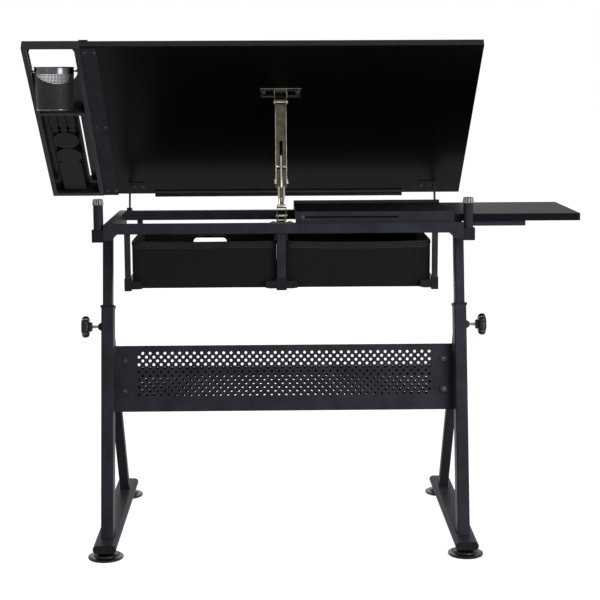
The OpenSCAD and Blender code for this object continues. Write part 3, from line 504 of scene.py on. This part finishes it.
low_pin = double_rivet(12.2, 3, 1.8)
bmesh.ops.transform(low_pin, matrix=STAY @ Matrix.Translation(PIVOT_LOW) @ pin_x, verts=low_pin.verts[:])
made("stay_foot_rivet", low_pin, bright_nickel_and_highlight, "frame", "bright_steel", ["stay_foot_pin"])
high_pin = double_rivet(16.2, 3, 1.8)
bmesh.ops.transform(high_pin, matrix=STAY @ Matrix.Translation(PIVOT_HIGH) @ pin_x, verts=high_pin.verts[:])
made("stay_bracket_rivet", high_pin, bright_nickel_and_highlight, "top", "bright_steel", ["stay_bracket_pin"])
roller = turned([(0, 3.8), (3.0, 3.8), (3.6, 4.3), (3.6, 6.2), (3.0, 7.0), (3.0, 8.4), (3.5, 9.2),
                 (3.5, 12.2),
                 (2.8, 12.5), (0, 12.5)], 32)
rollers = repeated(roller, [STAY_DOWN @ Matrix.Translation((0, STAY_REACH - 124, 0)) @ Matrix.Rotation(turn,
                                                                                                       4, "Y")
                            for turn in (math.pi / 2, -math.pi / 2)])
made("stay_ratchet_rollers", rollers, bright_nickel_and_highlight, "stay_upper", "bright_steel", ["stay_rollers"])


def cheek(x0, x1):
    bm = bmesh.new()
    corners = [bm.verts.new((x0, y, z)) for y, z in ((412, -2), (430, -2), (428, -25), (426.6, -29.2),
                                                     (421, -32),
                                                     (415.4, -29.2), (414, -25))]
    lifted = bmesh.ops.extrude_face_region(bm, geom=[bm.faces.new(corners)])
    bmesh.ops.translate(bm, vec=(x1 - x0, 0, 0),
                        verts=[v for v in lifted["geom"] if isinstance(v, bmesh.types.BMVert)])
    bmesh.ops.recalc_face_normals(bm, faces=bm.faces[:])
    bmesh.ops.bevel(bm, geom=bm.edges[:], offset=0.3, affect="EDGES", segments=2, profile=0.5, material=-1)
    return bm


bracket = together(
    slab((-51, 409, -2), (51, 415.5, 0), 0.5), slab((-51, 436.5, -3), (51, 445, 0), 0.7),
    slab((-51, 409, -2), (-45.5, 445, 0), 0.5), slab((45.5, 409, -2), (51, 445, 0), 0.5),
    slab((-47, 420, -1.6), (-36, 434, 0), 0.4), slab((36, 420, -1.6), (47, 434, 0), 0.4),
    slab((-18, 409, -2), (18, 445, 0), 0.5), cheek(14.5, 16), cheek(-16, -14.5))
bmesh.ops.transform(bracket, matrix=BOARD @ Matrix.Translation((5, 0, 0)), verts=bracket.verts[:])
made("stay_bracket_plate", bracket, bright_nickel_and_highlight, "top", "zinc_steel", ["stay_bracket"])
# Thin strips along the channel's flange edges and ends, in the bright copy of the same nickel: painted
# highlight along the edges.
highlight_lips = together(slab((12.3, -8, 6.2), (14, 211.8, 7), 0.3), slab((-14, -8, 6.2), (-12.3, 211.8, 7), 0.3),
                slab((13.2, 200, -3), (16.4, 211.6, 7), 0.6), slab((-16.4, 200, -3), (-13.2, 211.6, 7), 0.6))
bmesh.ops.transform(highlight_lips, matrix=STAY_DOWN, verts=highlight_lips.verts[:])
made("stay_channel_highlight_lips", highlight_lips, bright_nickel_and_highlight, "stay_upper", "zinc_steel")
STAY_UP = STAY @ Matrix.Translation(PIVOT_LOW) @ Matrix.Rotation(stay_turn, 4, "X")
ribs = together(slab((-8.6, 26, -3.6), (-4.4, 72, 3.6), 0.7), slab((4.4, 26, -3.6), (8.6, 72, 3.6), 0.7),
                slab((-4.6, 30, 1.2), (4.6, 50, 2.0), 0.3), slab((-2.0, 70, -3.2), (2.0, 151, 3.2), 0.9),
                slab((-12, 19.6, -6.2), (12, 26.4, 6.2), 0.8))
bmesh.ops.transform(ribs, matrix=STAY_UP, verts=ribs.verts[:])
made("stay_bar_ribs", ribs, bright_nickel_and_highlight, "stay_lower", "zinc_steel")
low_bar = double_rivet(11.0, 2.2, 1.2)
bmesh.ops.transform(low_bar, matrix=STAY @ Matrix.Translation((0, 143.5, 805)) @ pin_x,
                    verts=low_bar.verts[:])
made("stay_foot_spacer", low_bar, bright_nickel_and_highlight, "frame", "bright_steel")

# ---------------------------------------------------------------- Hanging cup
# Expanded-steel mesh basket, black enamelled, spot-welded to a polished steel band and a bottom rim wire.
# Two pins in the tray pass through the band, so the cup swings and stays upright as the board tilts.
# The polished steel of the band and rim wire is given a dark grey colour: painted reflection of the dark parts
# around the cup.
polished_dark_reflection = grained(surface("polished_stainless", "#505256", 0.2, 1.0), "#484a4e", "#5a5c60", 0.004, 0.0001,
                   0.02)
enamel = grained(surface("black_enamel", "#1c1d20", 0.4, Specular_IOR_Level=0.3), "#191a1d", "#202124",
                 0.002, 0.0002)
CUP = Matrix.Translation((CENTRE_X + 553.5, 88.2, 1165.4))
basket = bmesh.new()
bmesh.ops.create_cone(basket, cap_ends=False, segments=84, radius1=43.6, radius2=47.6, depth=84,
                      matrix=Matrix.Translation((0, 0, -49)))
uprights = [e for e in basket.edges if abs(e.verts[0].co.z - e.verts[1].co.z) > 1]
bmesh.ops.subdivide_edges(basket, edges=uprights, cuts=23)
cells = basket.faces[:]
bmesh.ops.inset_individual(basket, faces=cells, thickness=0.85)
bmesh.ops.delete(basket, geom=cells, context="FACES")
bmesh.ops.transform(basket, matrix=CUP, verts=basket.verts[:])
mesh_wall = made("cup_mesh", basket, enamel, "cup", "mesh_steel", ["cup_basket"])
thick = mesh_wall.modifiers.new("wire", "SOLIDIFY")
thick.thickness = 0.0007
thick.offset = -1
cup_floor = turned([(0, -95), (42, -95), (43.8, -94.6), (44.3, -93.2), (44.2, -91), (43.2, -91), (42.6, -93),
                    (41, -93.8), (0, -93.8)], 64)
bmesh.ops.transform(cup_floor, matrix=CUP, verts=cup_floor.verts[:])
made("cup_floor", cup_floor, polished_dark_reflection, "cup", "polished_band")
band = turned([(48, -7), (48.1, 7.2), (49.4, 8), (50, 9), (49.6, 10), (47.6, 10), (46.8, 9), (46.8, -7),
               (47.2, -7.6),
               (48, -7)], 96)
bmesh.ops.transform(band, matrix=CUP, verts=band.verts[:])
made("cup_rim_band", band, polished_dark_reflection, "cup", "polished_band", ["cup_band"])
coat(black_oxide, "cup_pivots")

# ---------------------------------------------------------------- Side board fittings
# Powder-coated steel runners screwed under the board and shouldered studs in its long edges.
# The studs run in the slots of the guide bars, so the board pulls out sideways and stays level.
coat(powder_coat, "side_board_strips")
coat(black_oxide, "side_board_studs")

# ---------------------------------------------------------------- Fabric drawers
# Boxes sewn from black polyester canvas over card, with a folded binding tape round the top edge.
# The canvas weave is 0.5 mm in the real cloth and is drawn at 2.4 mm so that it shows.
THREAD = 0.0024
canvas = surface("woven_polyester", "#121214", 0.85, Specular_IOR_Level=0.15, Sheen_Weight=0.03,
                 Sheen_Roughness=0.5)
tree = canvas.node_tree
shader = tree.nodes["Principled BSDF"]
where = add(tree, "TexCoord")
turn = add(tree, "Mapping", {"Rotation": (0, 0, math.pi / 4)}, {"Vector": where.outputs["Object"]})
warp = add(tree, "TexWave", {"wave_type": "BANDS", "bands_direction": "X", "Scale": 0.25 / THREAD,
                             "Distortion": 0.6},
           {"Vector": turn.outputs[0]})
weft = add(tree, "TexWave", {"wave_type": "BANDS", "bands_direction": "Z", "Scale": 0.32 / THREAD,
                             "Distortion": 0.6},
           {"Vector": where.outputs["Object"]})
weave = add(tree, "Math", {"operation": "MULTIPLY"}, {0: warp.outputs["Fac"], 1: weft.outputs["Fac"]})
tone = add(tree, "Mix", {"data_type": "RGBA", 6: linear("#0d0d0f"), 7: linear("#1a1a1c")},
           {0: weave.outputs[0]})
relief = add(tree, "Bump", {"Strength": 0.6, "Distance": 0.0004}, {"Height": weave.outputs[0]})
tree.links.new(tone.outputs[2], shader.inputs["Base Color"])
tree.links.new(relief.outputs["Normal"], shader.inputs["Normal"])
tape = grained(surface("binding_tape", "#18181b", 0.75, Specular_IOR_Level=0.2, Sheen_Weight=0.05),
               "#141416", "#1d1d20", 0.0024, 0.0004)

DRAWER_W, DRAWER_D, DRAWER_H = 352.0, 352.0, 115.0
DRAWER_Y, DRAWER_Z = -219.0, 638.3
GRIP_Z = 714.3
GRIP_HALF = (44.0, 10.0)
# The flanks swell only above the frame's corner blocks, which they slide past closely.
CORNER_TOP = 671.0
FLANK_RISE, FLANK_SWELL, FLANK_EASE = 12.0, 0.8, 0.3
TAPE_DROP = 8.5
DRAWERS_AT = CENTRE_X + 6
GRIP_APART = 188.5


def drawer_cloth(x0, sag, seed):
    middle = x0 + DRAWER_W / 2
    bm = bmesh.new()
    bmesh.ops.create_cube(bm, size=1, matrix=Matrix.Translation(
        (middle, DRAWER_Y + DRAWER_D / 2, DRAWER_Z + DRAWER_H / 2)) @ Matrix.Diagonal((DRAWER_W, DRAWER_D,
                                                                                       DRAWER_H, 1)))
    bm.normal_update()
    bmesh.ops.delete(bm, geom=[f for f in bm.faces if f.normal.z > 0.9], context="FACES_ONLY")
    bmesh.ops.subdivide_edges(bm, edges=bm.edges[:], cuts=17, use_grid_fill=True)
    for spot, cut in (((middle - GRIP_HALF[0], 0, 0), (1, 0, 0)), ((middle + GRIP_HALF[0], 0, 0), (1, 0, 0)),
                      ((0, 0, GRIP_Z - GRIP_HALF[1]), (0, 0, 1)), ((0, 0, GRIP_Z + GRIP_HALF[1]), (0, 0, 1))):
        bm.normal_update()
        front = [f for f in bm.faces if f.normal.y < -0.9]
        edges = list({e for f in front for e in f.edges})
        corners = list({v for f in front for v in f.verts})
        bmesh.ops.bisect_plane(bm, geom=front + edges + corners, dist=0.01, plane_co=spot, plane_no=cut)
    tight = bm.edges.layers.float.new("crease_edge")
    for e in bm.edges:
        if all(min(v.co.x - x0, x0 + DRAWER_W - v.co.x) < 0.1 and
               min(v.co.y - DRAWER_Y, DRAWER_Y + DRAWER_D - v.co.y) < 0.1 for v in e.verts):
            e[tight] = 0.8
        elif all(v.co.z - DRAWER_Z < 0.1 and min(v.co.x - x0, x0 + DRAWER_W - v.co.x, v.co.y - DRAWER_Y,
                                                 DRAWER_Y + DRAWER_D - v.co.y) < 0.1 for v in e.verts):
            e[tight] = 0.5
    bm.normal_update()
    gone = [f for f in bm.faces if f.normal.y < -0.9 and abs(f.calc_center_median().x - middle) < GRIP_HALF[0]
            and abs(f.calc_center_median().z - GRIP_Z) < GRIP_HALF[1]]
    bmesh.ops.delete(bm, geom=gone, context="FACES")
    for v in bm.verts:
        u, w, t = (v.co.x - x0) / DRAWER_W, (v.co.y - DRAWER_Y) / DRAWER_D, (v.co.z - DRAWER_Z) / DRAWER_H
        ripple = noise.noise(v.co * 0.012 + Vector((seed, 0, 0)))
        near = min(1.0, max(0.0,
                            (math.hypot(v.co.x - middle, v.co.z - GRIP_Z) - 55) / 60)) if w < 0.01 else 1.0
        bow = (1.6 + 1.8 * ripple) * near
        if w < 0.001:
            v.co.y += max(0.0, bow) * math.sin(math.pi * u)
        if w > 0.999:
            v.co.y -= max(0.0, bow * 1.5) * math.sin(math.pi * u)
            v.co.z -= sag * math.sin(math.pi * u) ** 0.8 * t
        above = min(1.0, max(0.0, (v.co.z - CORNER_TOP) / FLANK_RISE))
        swell = FLANK_SWELL * above * max(0.0, math.sin(math.pi * w)) ** 0.3 - FLANK_EASE * (1 - above)
        if u < 0.001:
            v.co.x -= swell
        if u > 0.999:
            v.co.x += swell
    return bm


def drawer(word, short, x0, sag, seed):
    body = "drawer_" + word
    cloth = drawer_cloth(x0, sag, seed)
    rim = [e for e in cloth.edges if e.is_boundary and min(v.co.z for v in e.verts) > DRAWER_Z + DRAWER_H - 12]
    hem = bmesh.new()
    placed = {}
    for e in rim:
        for v in e.verts:
            if v.index not in placed:
                placed[v.index] = hem.verts.new(v.co)
        hem.edges.new([placed[v.index] for v in e.verts])
    dropped = bmesh.ops.extrude_edge_only(hem, edges=hem.edges[:])
    bmesh.ops.translate(hem, vec=(0, 0, -TAPE_DROP),
                        verts=[v for v in dropped["geom"] if isinstance(v, bmesh.types.BMVert)])
    bmesh.ops.recalc_face_normals(hem, faces=hem.faces[:])
    wall = made("drawer_cloth_" + word, cloth, canvas, body, "drawer_fabric", ["drawer_" + short], 80)
    soft = wall.modifiers.new("rounded", "SUBSURF")
    soft.levels = soft.render_levels = 1
    thick = wall.modifiers.new("card", "SOLIDIFY")
    thick.thickness = 0.0032
    thick.offset = -1
    edge = made("drawer_binding_" + word, hem, tape, body, "drawer_fabric", (), 80)
    fold = edge.modifiers.new("fold", "SOLIDIFY")
    fold.thickness = 0.0054
    fold.offset = -0.8
    turns = []
    across = int(DRAWER_W / STITCH_PITCH)
    for i in range(2, across - 1):
        u = i / across
        for row in STITCH_ROWS:
            height = DRAWER_Z + DRAWER_H - row
            dip = sag * math.sin(math.pi * u) ** 0.8
            turns.append(Matrix.Translation((x0 + u * DRAWER_W,
                                             DRAWER_Y + DRAWER_D - 0.2 - 2.4 * math.sin(math.pi * u) * 0.5,
                                             height - dip)))
            turns.append(Matrix.Translation((x0 + u * DRAWER_W, DRAWER_Y + 0.1, height)))
    seam = bmesh.new()
    bmesh.ops.create_cube(seam, size=1, matrix=Matrix.Diagonal((STITCH_PITCH * 0.6, 1.2, 0.9, 1)))
    made("drawer_stitches_" + word, repeated(seam, turns), stitching, body, "drawer_fabric")


# Grey lockstitch, 3 mm a stitch in the real seam and drawn at 5 mm so that it shows.
STITCH_PITCH = 5.0
STITCH_ROWS = (10.5, 15.0)
stitching = grained(surface("polyester_thread", "#3c3d40", 0.6), "#343538", "#444548", 0.002, 0.0002)
drawer("left", "l", DRAWERS_AT - 364.5, 4.0, 3.0)
drawer("right", "r", DRAWERS_AT + 12.5, 1.5, 11.0)

# ---------------------------------------------------------------- Drawer grips
# Bright chromed oval eyelets, pressed in two halves and rolled together through the front wall. They
# line the hand hole, and their smooth plate gives sharp small highlights against the dull canvas.


def eyelet(middle):
    bm = turned([(18, 0.2), (17.4, -1.3), (14.5, -1.5), (11.5, -1.3), (10.2, 0.2), (10, 2), (10, 4),
                 (10.2, 4.6),
                 (11.5, 5.3), (14.5, 5.5), (17.4, 5.3), (18, 4.4), (17, 3.9), (14.2, 3.9), (14.2, 0.2),
                 (18, 0.2)], 48)
    for v in bm.verts:
        v.co.x += math.copysign(34, v.co.x)
    bmesh.ops.rotate(bm, cent=(0, 0, 0), matrix=Matrix.Rotation(-math.pi / 2, 3, "X"), verts=bm.verts[:])
    bmesh.ops.translate(bm, vec=(middle, DRAWER_Y, GRIP_Z), verts=bm.verts[:])
    return bm


chrome = grained(surface("bright_chrome", "#c6c8cc", 0.12, 1.0), "#bcbec2", "#d0d2d6", 0.004, 0.0001, 0.02)
for word, short, middle in (("left", "l", DRAWERS_AT - GRIP_APART), ("right", "r", DRAWERS_AT + GRIP_APART)):
    made("drawer_eyelet_" + word, eyelet(middle), chrome, "drawer_" + word, "grip_metal",
         ["drawer_grips_" + short])

# A loose, wavy canvas sheet stands behind the left drawer's hand hole as painted shade, so no light shows
# through it.
FLAP_W, FLAP_L = 120.0, 50.0
shade_flap = bmesh.new()
bmesh.ops.create_grid(shade_flap, x_segments=16, y_segments=8, size=0.5, matrix=(
    Matrix.Translation((DRAWERS_AT - GRIP_APART, DRAWER_Y + 7.2, GRIP_Z + 1)) @ Matrix.Rotation(math.pi / 2,
                                                                                                4, "X")
    @ Matrix.Diagonal((FLAP_W, FLAP_L, 1, 1))))
for v in shade_flap.verts:
    drop = (GRIP_Z + 26 - v.co.z) / FLAP_L
    v.co.y += 0.9 * drop * math.sin(v.co.x * 0.13) + 1.2 * drop
shade_flap = made("hand_hole_shade_flap", shade_flap, canvas, "drawer_left", "drawer_fabric", (), 80)
hem = shade_flap.modifiers.new("cloth", "SOLIDIFY")
hem.thickness = 0.0006
hem.offset = 0
